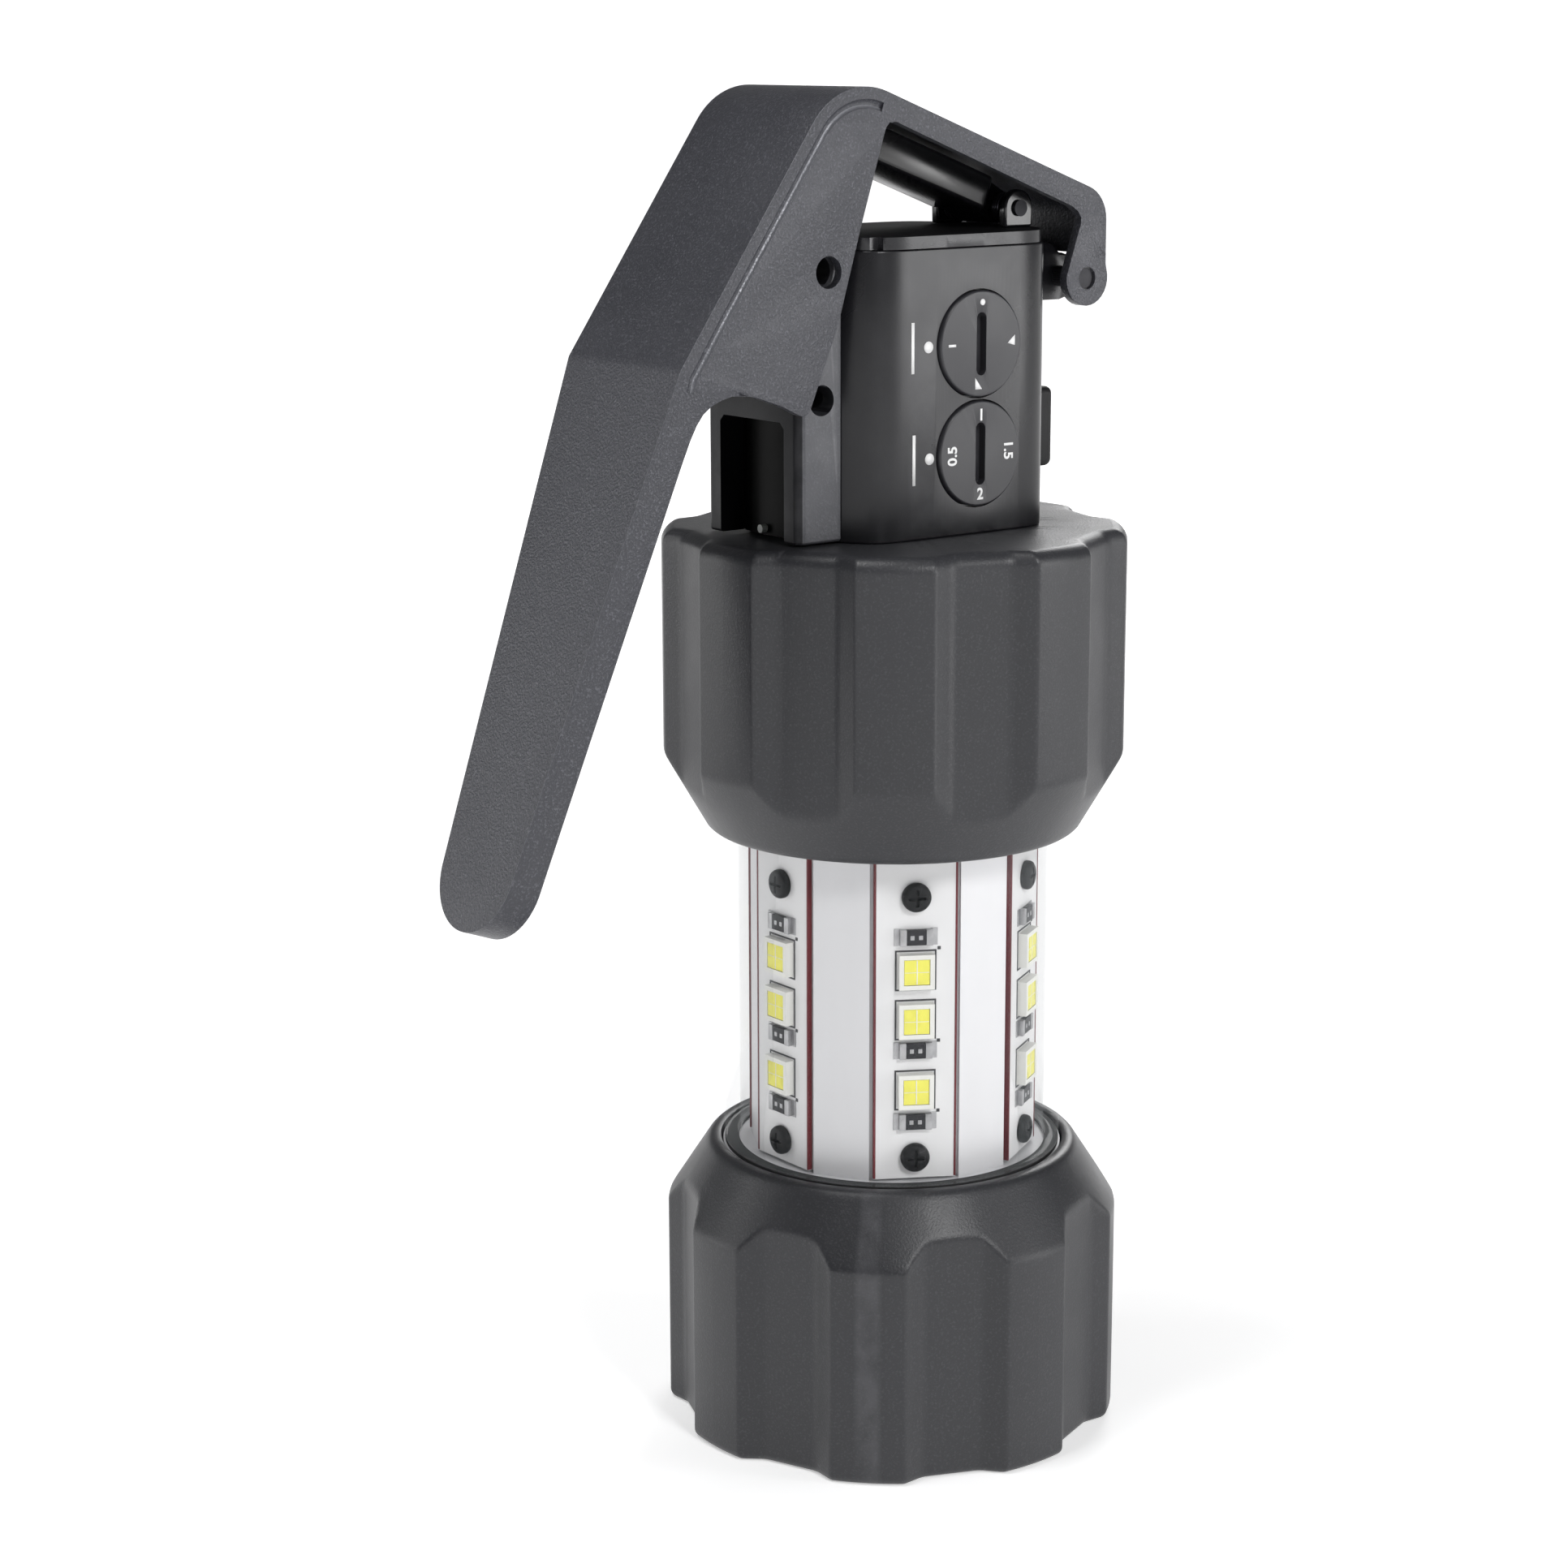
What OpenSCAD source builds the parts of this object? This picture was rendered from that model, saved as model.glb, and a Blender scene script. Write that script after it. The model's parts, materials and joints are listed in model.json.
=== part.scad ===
// Lever-release strobe light: fluted tail cap, lit core in a clear tube, bumper ring, head with two
// dials, latch block, button, kicker arm and a hinged spoon lever.
// Millimetres. Z is up, Z = 0 under the tail cap, lever on -X, dials on -Y, hinge and button on +X.

/* [Bumpers] */
// outer radius over the lobes
bump_r = 23; // [20:0.5:26]
// height of the straight part of each bumper
bump_h = 22.4; // [16:0.2:28]
// radius at the flute floor
flute_r = 21.3; // [20:0.1:22.5]
// number of flutes round each bumper
flutes = 8; // [6:1:12]
// angle the upper ring is turned from the lower cap
ring_turn = 6; // [0:1:45]
// radius where each cone meets the clear tube
rim_r = 18.7; // [17.8:0.1:20]

/* [Lit core] */
// distance from the axis to the face of the LED boards
board_face = 14.05; // [13.8:0.05:14.3]
// board width
board_w = 8.2; // [7:0.1:8.8]
// outside radius of the clear tube
lens_r = 16.2; // [16:0.05:16.3]
// radius of the battery bore
cell_bore = 9.4; // [9.3:0.1:9.8]

/* [Head] */
// radius of the round sides of the head
head_r = 14.35; // [13.5:0.05:15]
// half width between the two flats
flat_y = 10.5; // [9.8:0.1:11]
// height of the head above the bumper ring
head_h = 28.7; // [24:0.1:32]
// radius of each dial
dial_r = 5.05; // [4.5:0.05:5.1]
// how far the dials stand out of the flat
dial_out = 0.4; // [0.1:0.1:1]
// how far out the side button reaches from the axis
button_x = 16.9; // [16:0.1:18]

/* [Lever] */
// lever width at the hinge and fold
lever_w = 18; // [17.4:0.1:19]
// lever width at the start of its round tip
tip_w = 11.6; // [9:0.1:15]
// sheet thickness of the lever's web
web_t = 1.2; // [0.8:0.1:1.6]
// thickness of the lever's side cheeks
cheek_t = 1; // [0.6:0.1:1.2]
// depth of the flange round the handle part
flange_d = 3.4; // [2:0.1:5]

/* [Hidden] */
$fn = 64;
eps = 0.01;
cap_top = 28.9;                      // rim of the lower cap
ring_z0 = 61.8;                      // rim of the upper ring
ring_z1 = 92;                        // flat top of the upper ring
ring_cyl = ring_z1 - bump_h - 1.1;   // where the ring's straight part starts
head_z = ring_z1 + head_h;           // top of the head lid
lid_t = 1.2;
pocket_y = 4.49;                     // half width of a board pocket
strip_d = 14.1;                      // distance to the plain strips between boards
strip_y = 2.95;
board_t = 1;
board_z0 = 28.8;
board_z1 = 61;
led_z = [50.1, 45.1, 37.9];
res_z = [53.5, 42, 34.7];
screw_z = [57.5, 31];
dial_x = 1.75;
mode_z = 110.3;
delay_z = 99.8;
hinge_x = 17;
hinge_z = 115.7;
lobe_r = 2.7;                        // round end of each hinge cheek
kick_x = 11;
kick_z = 122.57;
kick_a = 20.3;                       // slope of the lever's top web
block_x = -17.55;
block_y = 7.28;
pin_x = -15.3;                       // upper safety-pin bore
pin_z = 117.7;
pin2_x = -14.8;                      // lower safety-pin bore
pin2_z = 105.7;
leg_a = 20.65;                       // lean of the handle part
leg_x = -32.22;                      // fold between the two handle facets
leg_z = 109.74;
leg_l = 48.5;                        // from the fold to the centre of the round tip
lead = 3;                            // travel of the cap for one turn

// rotational profile given as [radius, height] points
module spun(points) {
    rotate_extrude($fn = 96) polygon(points);
}

// slots that leave the lobes standing
module flute_cut(z0, z1, turn) {
    for (i = [0 : flutes - 1])
        rotate([0, 0, turn + 22.5 + i * 360 / flutes])
            translate([0, 0, z0])
                linear_extrude(height = z1 - z0)
                    polygon([[flute_r, -3], [25, -10.64], [25, 10.64], [flute_r, 3]]);
}

module six() {
    for (i = [0 : 5]) rotate([0, 0, 60 * i]) children();
}

// rod lying along +X from x0 to x1
module rod_x(r, x0, x1) {
    translate([x0, 0, 0]) rotate([0, 90, 0]) cylinder(r = r, h = x1 - x0);
}

// rod lying along Y, centred on Y = 0 unless y0 and y1 are given
module rod_y(r, y0, y1) {
    translate([0, y1, 0]) rotate([90, 0, 0]) cylinder(r = r, h = y1 - y0);
}

// side-view outline (x, z) given a width along Y
module side_plate(points, y0, y1) {
    translate([0, y1, 0]) rotate([90, 0, 0]) linear_extrude(height = y1 - y0) polygon(points);
}

// ---------------------------------------------------------------- tail

module tail_cap() {
    color("#3d3e41") difference() {
        spun([[0, 0], [22.3, 0], [22.8, 0.3], [bump_r, 0.9], [bump_r, bump_h - 0.5],
              [bump_r - 0.35, bump_h + 0.6], [rim_r + 0.3, cap_top - 0.5], [rim_r - 0.2, cap_top],
              [17.45, cap_top], [17.45, 24.6], [15.5, 24.6], [15.5, 3], [0, 3]]);
        flute_cut(-1, 30, 0);
    }
}

module tail_contact() {
    color("#b08d4a") {
        translate([0, 0, 3.3]) cylinder(r = 9, h = 0.9);
        translate([0, 0, 4.2 - eps]) cylinder(r = 2.4, h = 0.6);
    }
}

module tail_spring() {
    color("#c8c9cc") translate([0, 0, 4.3]) difference() {
        cylinder(r = 5, h = 5.5);
        translate([0, 0, -1]) cylinder(r = 4.2, h = 8);
    }
}

module tail_oring() {
    color("#151515") translate([0, 0, 26.75])
        rotate_extrude($fn = 96) translate([16.9, 0]) circle(r = 0.45, $fn = 20);
}

// ---------------------------------------------------------------- core

module core_section() {
    polygon([for (k = [0 : 5]) for (p = [
        [60 * k, board_face - board_t, -pocket_y], [60 * k, board_face - board_t, pocket_y],
        [60 * k + 30, strip_d, -strip_y], [60 * k + 30, strip_d, strip_y]])
        [p[1] * cos(p[0]) - p[2] * sin(p[0]), p[1] * sin(p[0]) + p[2] * cos(p[0])]]);
}

module core_tube() {
    color("#c9cacd") difference() {
        union() {
            translate([0, 0, 7]) cylinder(r = 15.4, h = 18);
            translate([0, 0, 24.9]) cylinder(r = 17.3, h = 3.6);
            translate([0, 0, 28.4]) linear_extrude(height = 33.8) core_section();
            translate([0, 0, 62.1]) cylinder(r = 15.3, h = 3);
            translate([0, 0, 65]) cylinder(r = 17, h = 23);
        }
        translate([0, 0, 6]) cylinder(r = cell_bore, h = 74);
        translate([0, 0, 79]) cylinder(r = 6, h = 10);
        translate([0, 0, 26.75]) rotate_extrude($fn = 96) translate([16.4, -0.6]) square([2, 1.2]);
        six() for (z = screw_z) translate([0, 0, z]) rod_x(0.8, 10.2, 14);
    }
}

module led_board() {
    difference() {
        translate([board_face - board_t, -board_w / 2, board_z0])
            cube([board_t, board_w, board_z1 - board_z0]);
        for (z = screw_z) translate([0, 0, z]) rod_x(0.9, 12, 15);
    }
}

module led_board_1() { color("#f1f1f0") rotate([0, 0, 0]) led_board(); }
module led_board_2() { color("#f1f1f0") rotate([0, 0, 60]) led_board(); }
module led_board_3() { color("#f1f1f0") rotate([0, 0, 120]) led_board(); }
module led_board_4() { color("#f1f1f0") rotate([0, 0, 180]) led_board(); }
module led_board_5() { color("#f1f1f0") rotate([0, 0, 240]) led_board(); }
module led_board_6() { color("#f1f1f0") rotate([0, 0, 300]) led_board(); }

module led_packages() {
    color("#fbfbf6") six() for (z = led_z) difference() {
        translate([board_face + eps, -1.75, z - 1.75]) cube([0.95, 3.5, 3.5]);
        translate([14.72, -1.3, z - 1.3]) cube([1, 2.6, 2.6]);
    }
}

module led_phosphors() {
    color("#f7f59a") six() for (z = led_z) translate([14.74, -1.25, z - 1.25]) cube([0.2, 2.5, 2.5]);
}

module resistors() {
    color("#2a2a2c") six() for (z = res_z) translate([board_face + eps, -1.6, z - 0.8]) cube([0.55, 3.2, 1.6]);
}

module board_screws() {
    color("#1b1b1d") six() for (z = screw_z) translate([0, 0, z]) difference() {
        union() {
            rod_x(1.45, board_face + eps, 15);
            rod_x(0.75, 11, 14.2);
        }
        translate([14.6, -0.8, -0.15]) cube([1, 1.6, 0.3]);
        translate([14.6, -0.15, -0.8]) cube([1, 0.3, 1.6]);
    }
}

module lens_tube() {
    color("#dfe9ee") spun([[17.2, 28.9], [17.2, 31], [lens_r, 37.5], [lens_r, 64.6],
                           [15.55, 64.6], [15.55, 28.9]]);
}

module lens_gaskets() {
    color("#1a1a1a") {
        spun([[15.7, 28.52], [17.1, 28.52], [17.1, 28.88], [15.7, 28.88]]);
        spun([[15.6, 64.63], [16.15, 64.63], [16.15, 64.97], [15.6, 64.97]]);
    }
}

module battery_cell() {
    color("#2f5f8f") spun([[0, 10], [8.6, 10], [9.15, 10.6], [9.15, 73.4], [8.4, 74], [0, 74]]);
}

module cell_terminal() {
    color("#d0d1d4") translate([0, 0, 74.02]) cylinder(r = 3, h = 0.9);
}

module contact_plate() {
    color("#2e5a3a") translate([0, 0, 76.2]) cylinder(r = 9.2, h = 1.4);
}

module contact_stud() {
    color("#b08d4a") translate([0, 0, 75]) cylinder(r = 1.8, h = 1.18);
}

// ---------------------------------------------------------------- bumper ring

module bumper_ring() {
    color("#3d3e41") difference() {
        spun([[rim_r - 0.2, ring_z0], [rim_r + 0.3, ring_z0 + 0.4], [bump_r - 0.35, ring_cyl - 0.6],
              [bump_r, ring_cyl + 0.5], [bump_r, ring_z1 - 1.6], [22.8, ring_z1 - 0.8],
              [22.2, ring_z1 - 0.25], [21.4, ring_z1], [9, ring_z1], [9, 88.3], [17.05, 88.3],
              [17.05, 64.75], [16.35, 64.75], [16.35, ring_z0]]);
        flute_cut(61, 93, ring_turn);
    }
}

// ---------------------------------------------------------------- head

module head_section(r, y) {
    intersection() {
        circle(r = r, $fn = 96);
        square([60, 2 * y], center = true);
    }
}

module head_housing() {
    color("#2b2c2f") difference() {
        union() {
            translate([0, 0, ring_z1 + 0.02]) linear_extrude(height = head_h - lid_t - 0.02)
                head_section(head_r, flat_y);
            translate([11, -5, 113.4]) cube([hinge_x - 11, 10, 6]);
            translate([hinge_x, 0, hinge_z]) rod_y(2.3, -5, 5);
        }
        translate([0, 0, ring_z1 - 1]) linear_extrude(height = head_h + 2) head_section(11.9, 8.1);
        for (z = [mode_z, delay_z]) translate([dial_x, 0, z]) {
            rod_y(dial_r + 0.1, -12, -9.3);
            rod_y(2.1, -12, -6);
            translate([0, -9.31, 0]) rotate([-90, 0, 0]) difference() {
                cylinder(r = 3.2, h = 0.45);
                translate([0, 0, -1]) cylinder(r = 2.6, h = 3);
            }
        }
        translate([9, -4.75, 96.65]) cube([8, 9.5, 8.3]);
        translate([9, -5.7, 95.8]) cube([3.2, 11.4, 10]);
        translate([hinge_x, 0, hinge_z]) rod_y(1.03, -6, 6);
        translate([pin_x, 0, pin_z]) rod_y(1.5, -9, 9);
        translate([pin2_x, 0, pin2_z]) rod_y(1.45, -9, 9);
    }
}

module head_lid() {
    color("#2b2c2f") difference() {
        translate([0, 0, head_z - lid_t + 0.02]) linear_extrude(height = lid_t - 0.02)
            head_section(head_r - 0.25, flat_y + 0.1);
        translate([-10.6, -12, head_z - 2]) cube([0.9, 2.6, 4]);
    }
}

module kick_bracket() {
    color("#2b2c2f") for (s = [-1, 1]) difference() {
        union() {
            translate([kick_x - 1.8, s * 5.1 - 0.5, head_z + 0.02]) cube([3.6, 1, kick_z - head_z]);
            translate([kick_x, 0, kick_z]) rod_y(1.8, s * 5.1 - 0.5, s * 5.1 + 0.5);
        }
        translate([kick_x, 0, kick_z]) rod_y(0.82, -9, 9);
    }
}

module kick_pin() {
    color("#3a3b3e") translate([kick_x, 0, kick_z]) rod_y(0.8, -5.9, 5.9);
}

module kick_springs() {
    color("#8d8f93") for (s = [-1, 1]) translate([kick_x, 0, kick_z]) difference() {
        rod_y(1.55, s * 3.6 - 0.75, s * 3.6 + 0.75);
        rod_y(1.05, -9, 9);
    }
}

// bar under the lever's top web, turning on the kicker pin
module kick_arm() {
    color("#17181a") difference() {
        union() {
            translate([kick_x, 0, kick_z]) rod_y(1.6, -2.6, 2.6);
            translate([kick_x, 0, kick_z]) rotate([0, kick_a, 0]) {
                side_plate([[0, -1.25], [0, 1.5], [-3, 2.15], [-4, 2.15], [-4, -1.25]], -2.6, 2.6);
                side_plate([[-2.6, -1.3], [-2.6, 2.2], [-16.9, 2.2], [-18.1, 1.4], [-18.5, 0.3],
                            [-18.1, -0.8], [-17.1, -1.3]], -4, 4);
            }
        }
        translate([kick_x, 0, kick_z]) rod_y(0.86, -9, 9);
    }
}

module hinge_pin() {
    color("#8a8c90") translate([hinge_x, 0, hinge_z]) rod_y(1, -8.7, 8.7);
}

// ---------------------------------------------------------------- latch block

module latch_block() {
    color("#4a4b4e") difference() {
        translate([0, 0, ring_z1 + 0.2]) linear_extrude(height = head_h - 0.2)
            polygon([[-11, -block_y], [block_x + 0.8, -block_y], [block_x, -block_y + 0.8],
                     [block_x, block_y - 0.8], [block_x + 0.8, block_y], [-11, block_y]]);
        translate([0, 0, ring_z1 - 1]) cylinder(r = head_r + 0.15, h = 40, $fn = 96);
        translate([block_x - 1, -5, ring_z1 - 1]) cube([5, 10, 12.6]);
        translate([pin_x, 0, pin_z]) rod_y(1.5, -9, 9);
        translate([pin2_x, 0, pin2_z]) rod_y(1.45, -9, 9);
    }
}

module block_window() {
    color("#0a0a0b") intersection() {
        translate([-16, -4.85, ring_z1 + 0.25]) cube([1.6, 9.7, 11.2]);
        difference() {
            translate([0, 0, 90]) cylinder(r = 15.6, h = 20, $fn = 96);
            translate([0, 0, 89]) cylinder(r = head_r + 0.15, h = 22, $fn = 96);
        }
    }
}

module indicator_led() {
    color("#e9efe9") translate([-16.3, 0.4, ring_z1 + 0.9]) rod_x(0.4, 0, 0.65);
}

// ---------------------------------------------------------------- controls

module dial(z) {
    translate([dial_x, 0, z]) difference() {
        union() {
            rod_y(dial_r, -flat_y - dial_out, -9.45);
            rod_y(2, -9.5, -6);
        }
        translate([-0.6, -flat_y - dial_out - 1, -2.4]) cube([1.2, 1.8, 4.8]);
        for (s = [-1, 1]) translate([0, 0, 2.4 * s])
            rod_y(0.6, -flat_y - dial_out - 1, -flat_y - dial_out + 0.8);
    }
}

module mode_dial() { color("#35363a") dial(mode_z); }
module delay_dial() { color("#35363a") dial(delay_z); }

module dial_seals() {
    color("#151515") for (z = [mode_z, delay_z]) translate([dial_x, -9.27, z]) rotate([-90, 0, 0])
        difference() {
            cylinder(r = 3.12, h = 0.36);
            translate([0, 0, -1]) cylinder(r = 2.68, h = 3);
        }
}

module rotary_switch(z) {
    difference() {
        translate([dial_x - 4, -7.9, z - 4]) cube([8, 3.5, 8]);
        translate([dial_x, 0, z]) rod_y(2.06, -9, -5.8);
    }
}

module mode_switch() { color("#1f3f6b") rotary_switch(mode_z); }
module delay_switch() { color("#1f3f6b") rotary_switch(delay_z); }

module control_board() {
    color("#1d5a3a") translate([-9.5, -4.35, 94]) cube([16, 1, 23]);
}

module side_button() {
    color("#1e1f21") {
        translate([0, 0, 96.8]) linear_extrude(height = 8)
            polygon([[11.9, -4.6], [button_x - 0.7, -4.6], [button_x, -3.9], [button_x, 3.9],
                     [button_x - 0.7, 4.6], [11.9, 4.6]]);
        translate([11.1, -5.4, 96.1]) cube([0.9, 10.8, 9.4]);
        translate([0, 0, 100.8]) rod_x(1.2, 9, 11.2);
    }
}

module button_spring() {
    color("#c8c9cc") translate([0, 0, 100.8]) difference() {
        rod_x(2.3, 7.5, 11);
        rod_x(1.7, 7, 12);
    }
}

module button_switch() {
    color("#2a2a2c") {
        translate([3.9, -3.3, 97.8]) cube([3.5, 6.3, 6]);
        translate([0, 0, 100.8]) rod_x(1.1, 7.3, 7.9);
    }
}

// ---------------------------------------------------------------- lever

// outline of the handle part in its own plane, drawn inset from the edge by d
module leg_outline(d) {
    polygon([[0.15, -lever_w / 2 + d + 0.02], [leg_l, -tip_w / 2 + d], [leg_l, tip_w / 2 - d],
             [0.15, lever_w / 2 - d - 0.02]]);
    translate([leg_l, 0]) circle(r = tip_w / 2 - d);
}

module lever_leg() {
    translate([leg_x, 0, leg_z]) rotate([0, 90 + leg_a, 0]) {
        linear_extrude(height = web_t) leg_outline(0);
        difference() {
            linear_extrude(height = flange_d) leg_outline(0);
            translate([0, 0, -1]) linear_extrude(height = 9) leg_outline(cheek_t);
            translate([-1, -20, -1]) cube([1.5, 40, 9]);
        }
    }
}

// side-view point at distance s down the handle from the fold and depth d under its outside
function leg_pt(s, d) = [leg_x - s * sin(leg_a) + d * cos(leg_a),
                         leg_z - s * cos(leg_a) - d * sin(leg_a)];

// points of an arc in the side view, from angle a0 to a1
function arc(c, r, a0, a1, n) = [for (i = [0 : n])
    let (a = a0 + (a1 - a0) * i / n) [c[0] + r * cos(a), c[1] + r * sin(a)]];

apex = [-10.97, 126.95];             // centre of the rounded top fold
apex_r = 7.5;
knee = [16, 121.3];                  // centre of the rounded corner over the hinge
knee_r = 3.45;
facet_a = 145;                       // direction the upper handle facet faces

// sheet line of the upper lever, inset from the outside by d
function upper_line(d) = concat([[19.45 - d, 118.05]], arc(knee, knee_r - d, 0, 69.7, 4),
    arc(apex, apex_r - d, 69.7, facet_a, 7),
    [[leg_x - d * cos(facet_a), leg_z - d * sin(facet_a)]]);

function reversed(v) = [for (i = [len(v) - 1 : -1 : 0]) v[i]];

// lower edge of the cheek, from the handle along the arch, up its straight edge and down the hook
cheek_edge = [[-30.3, 104.6], [-29.6, 105.55], [-28.7, 106.3], [-27.6, 106.75], [-25.7, 107.1],
              [-23.6, 106.7], [-20.7, 105.7], [-18.9, 104.75], [-18, 104.6], [-17.45, 105.2],
              [-14.2, 112.8], [-11.6, 121.4], [-8.6, 130.6], [-8.1, 131.2], [-7.3, 131.2],
              [16, 122.3], [16.25, 121.6], [15.5, 119.4], [14.5, 116.5], [14.6, hinge_z],
              [19.4, hinge_z]];

module lever_cheek(y0, y1) {
    side_plate(concat(upper_line(0), [leg_pt(0.4, 0.5), leg_pt(5.6, 0.5), leg_pt(5.6, 3)],
                      cheek_edge), y0, y1);
}

module lever() {
    color("#55565a") difference() {
        union() {
            lever_leg();
            side_plate(concat(upper_line(0), [leg_pt(0.9, 0.06)], reversed(upper_line(web_t))),
                       -lever_w / 2, lever_w / 2);
            for (s = [-1, 1]) {
                translate([0, s * (lever_w - cheek_t) / 2, 0])
                    lever_cheek(-cheek_t / 2, cheek_t / 2);
                translate([hinge_x, 0, hinge_z])
                    rod_y(lobe_r, s * (lever_w - cheek_t) / 2 - cheek_t / 2,
                          s * (lever_w - cheek_t) / 2 + cheek_t / 2);
            }
        }
        translate([hinge_x, 0, hinge_z]) rod_y(1.1, -12, 12);
        translate([pin_x, 0, pin_z]) rod_y(1.5, -12, 12);
    }
}

tail_cap();
tail_contact();
tail_spring();
tail_oring();
core_tube();
led_board_1();
led_board_2();
led_board_3();
led_board_4();
led_board_5();
led_board_6();
led_packages();
led_phosphors();
resistors();
board_screws();
lens_tube();
lens_gaskets();
battery_cell();
cell_terminal();
contact_plate();
contact_stud();
bumper_ring();
head_housing();
head_lid();
kick_bracket();
kick_pin();
kick_springs();
kick_arm();
hinge_pin();
latch_block();
block_window();
indicator_led();
mode_dial();
delay_dial();
dial_seals();
mode_switch();
delay_switch();
control_board();
side_button();
button_spring();
button_switch();
lever();
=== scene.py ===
"""Looks of the lever-release strobe light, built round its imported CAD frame. Lengths of the object are
millimetres until its mesh is made, which scales them to metres; the camera, lights and floor are in
metres. The light stands on Z = 0, with the lever on -X, the dials on -Y, hinge and button on +X."""

import json
import math

import bmesh
import bpy
from mathutils import Matrix, Vector
from mathutils.geometry import tessellate_polygon


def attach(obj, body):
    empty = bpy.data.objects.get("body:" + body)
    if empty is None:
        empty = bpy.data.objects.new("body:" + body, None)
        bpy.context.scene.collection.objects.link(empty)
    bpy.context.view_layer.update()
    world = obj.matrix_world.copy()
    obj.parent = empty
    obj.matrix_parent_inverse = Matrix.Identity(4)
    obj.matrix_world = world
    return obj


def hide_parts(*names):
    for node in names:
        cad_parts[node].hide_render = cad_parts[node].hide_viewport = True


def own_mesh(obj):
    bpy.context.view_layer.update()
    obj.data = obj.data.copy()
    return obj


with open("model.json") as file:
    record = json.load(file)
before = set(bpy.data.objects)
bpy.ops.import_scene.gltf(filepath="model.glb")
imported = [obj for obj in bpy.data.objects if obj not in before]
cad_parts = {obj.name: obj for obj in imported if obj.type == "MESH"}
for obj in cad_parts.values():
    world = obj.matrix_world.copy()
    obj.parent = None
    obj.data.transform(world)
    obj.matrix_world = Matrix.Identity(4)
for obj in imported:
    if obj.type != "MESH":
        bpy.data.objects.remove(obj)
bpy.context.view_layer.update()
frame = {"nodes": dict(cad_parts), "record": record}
NODES = frame["nodes"]
MM = 0.001
rad = math.radians

# places shared by several pieces; the axes of the hinge, kicker, pin bores and dials run along Y
HINGE = (17, 115.7)       # x, z
KICK = (11, 122.57)       # x, z
KICK_SLOPE = rad(20.3)    # how far the resting kicker arm dips towards -X
PIN_BORES = ((-15.3, 117.7, 1.5), (-14.8, 105.7, 1.45))  # x, z, radius of the safety-pin bores
DIAL_X = 1.75
MODE_Z, DELAY_Z = 110.3, 99.8
BUTTON_Z = 100.8
BOARD_FACE = 14.05        # from the axis to the outer face of each LED board


# ---------------------------------------------------------------- camera, light, floor
def make_camera():
    right = Vector((0.79335, -0.60876, 0))
    back = Vector((-0.59363, -0.77362, 0.22155)).normalized()
    level_up = back.cross(right).normalized()
    roll = rad(-0.18)
    side = right * math.cos(roll) + level_up * math.sin(roll)
    up = back.cross(side)
    data = bpy.data.cameras.new("camera")
    data.lens, data.sensor_width = 76.02, 36
    data.clip_start, data.clip_end = 0.01, 20
    cam = bpy.data.objects.new("camera", data)
    bpy.context.scene.collection.objects.link(cam)
    target, distance = Vector((-0.00868, 0.00666, 0.0656)), 0.333
    m = Matrix((side, up, back)).transposed().to_4x4()
    m.translation = target + back * distance
    cam.matrix_world = m
    bpy.context.scene.camera = cam


def area(name, pos, size, energy, size_y=None):
    """Area light at pos, aimed at the middle of the object."""
    data = bpy.data.lights.new(name, "AREA")
    data.energy, data.size = energy, size
    if size_y:
        data.shape, data.size_y = "RECTANGLE", size_y
    ob = bpy.data.objects.new(name, data)
    bpy.context.scene.collection.objects.link(ob)
    ob.location = pos
    ob.rotation_euler = (Vector(pos) - Vector((0, 0, 0.075))).to_track_quat("Z", "Y").to_euler()


def make_lights():
    area("key", (-0.10, -0.85, 0.70), 0.22, 4.6)
    area("right", (0.66, -0.82, 0.22), 0.22, 3.6, 0.7)
    area("left", (-0.80, 0.72, 0.30), 0.2, 2.2, 0.8)
    area("top", (-0.35, 0.05, 0.92), 0.30, 4.0)
    area("back", (0.75, 0.55, 0.45), 0.35, 2.5)
    world = bpy.data.worlds.new("studio")
    bpy.context.scene.world = world
    world.use_nodes = True
    bg = world.node_tree.nodes["Background"]
    bg.inputs["Color"].default_value = (1, 1, 1, 1)
    bg.inputs["Strength"].default_value = 0.13
    bpy.context.scene.view_settings.view_transform = "Standard"


def make_floor():
    """Round floor with a low rim far away, brighter with distance so that it ends without a horizon."""
    bm = bmesh.new()
    n = 72
    rings = [[bm.verts.new((r * math.cos(rad(5 * i)), r * math.sin(rad(5 * i)), z)) for i in range(n)]
             for r, z in ((0.2, 0), (0.6, 0), (1.4, 0), (4, 0), (12, 0), (12, 0.8))]
    bm.faces.new(rings[0])
    for p, q in zip(rings, rings[1:]):
        for i in range(n):
            j = (i + 1) % n
            bm.faces.new((p[i], q[i], q[j], p[j]))
    floor = link("studio_floor", bm, None, smooth=False)
    mat = bpy.data.materials.new("studio_floor")
    mat.use_nodes = True
    nt = mat.node_tree
    b = nt.nodes["Principled BSDF"]
    b.inputs["Base Color"].default_value = (0.85, 0.85, 0.855, 1)
    b.inputs["Roughness"].default_value = 0.6
    b.inputs["Emission Color"].default_value = (1, 1, 1, 1)
    away = nt.nodes.new("ShaderNodeVectorMath")
    away.operation = "LENGTH"
    nt.links.new(nt.nodes.new("ShaderNodeTexCoord").outputs["Object"], away.inputs[0])
    glow = nt.nodes.new("ShaderNodeMapRange")
    for k, v in zip(("From Min", "From Max", "To Min", "To Max"), (0.25, 1.3, 0.42, 1.0)):
        glow.inputs[k].default_value = v
    nt.links.new(away.outputs["Value"], glow.inputs["Value"])
    nt.links.new(glow.outputs["Result"], b.inputs["Emission Strength"])
    floor.data.materials.append(mat)


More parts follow.
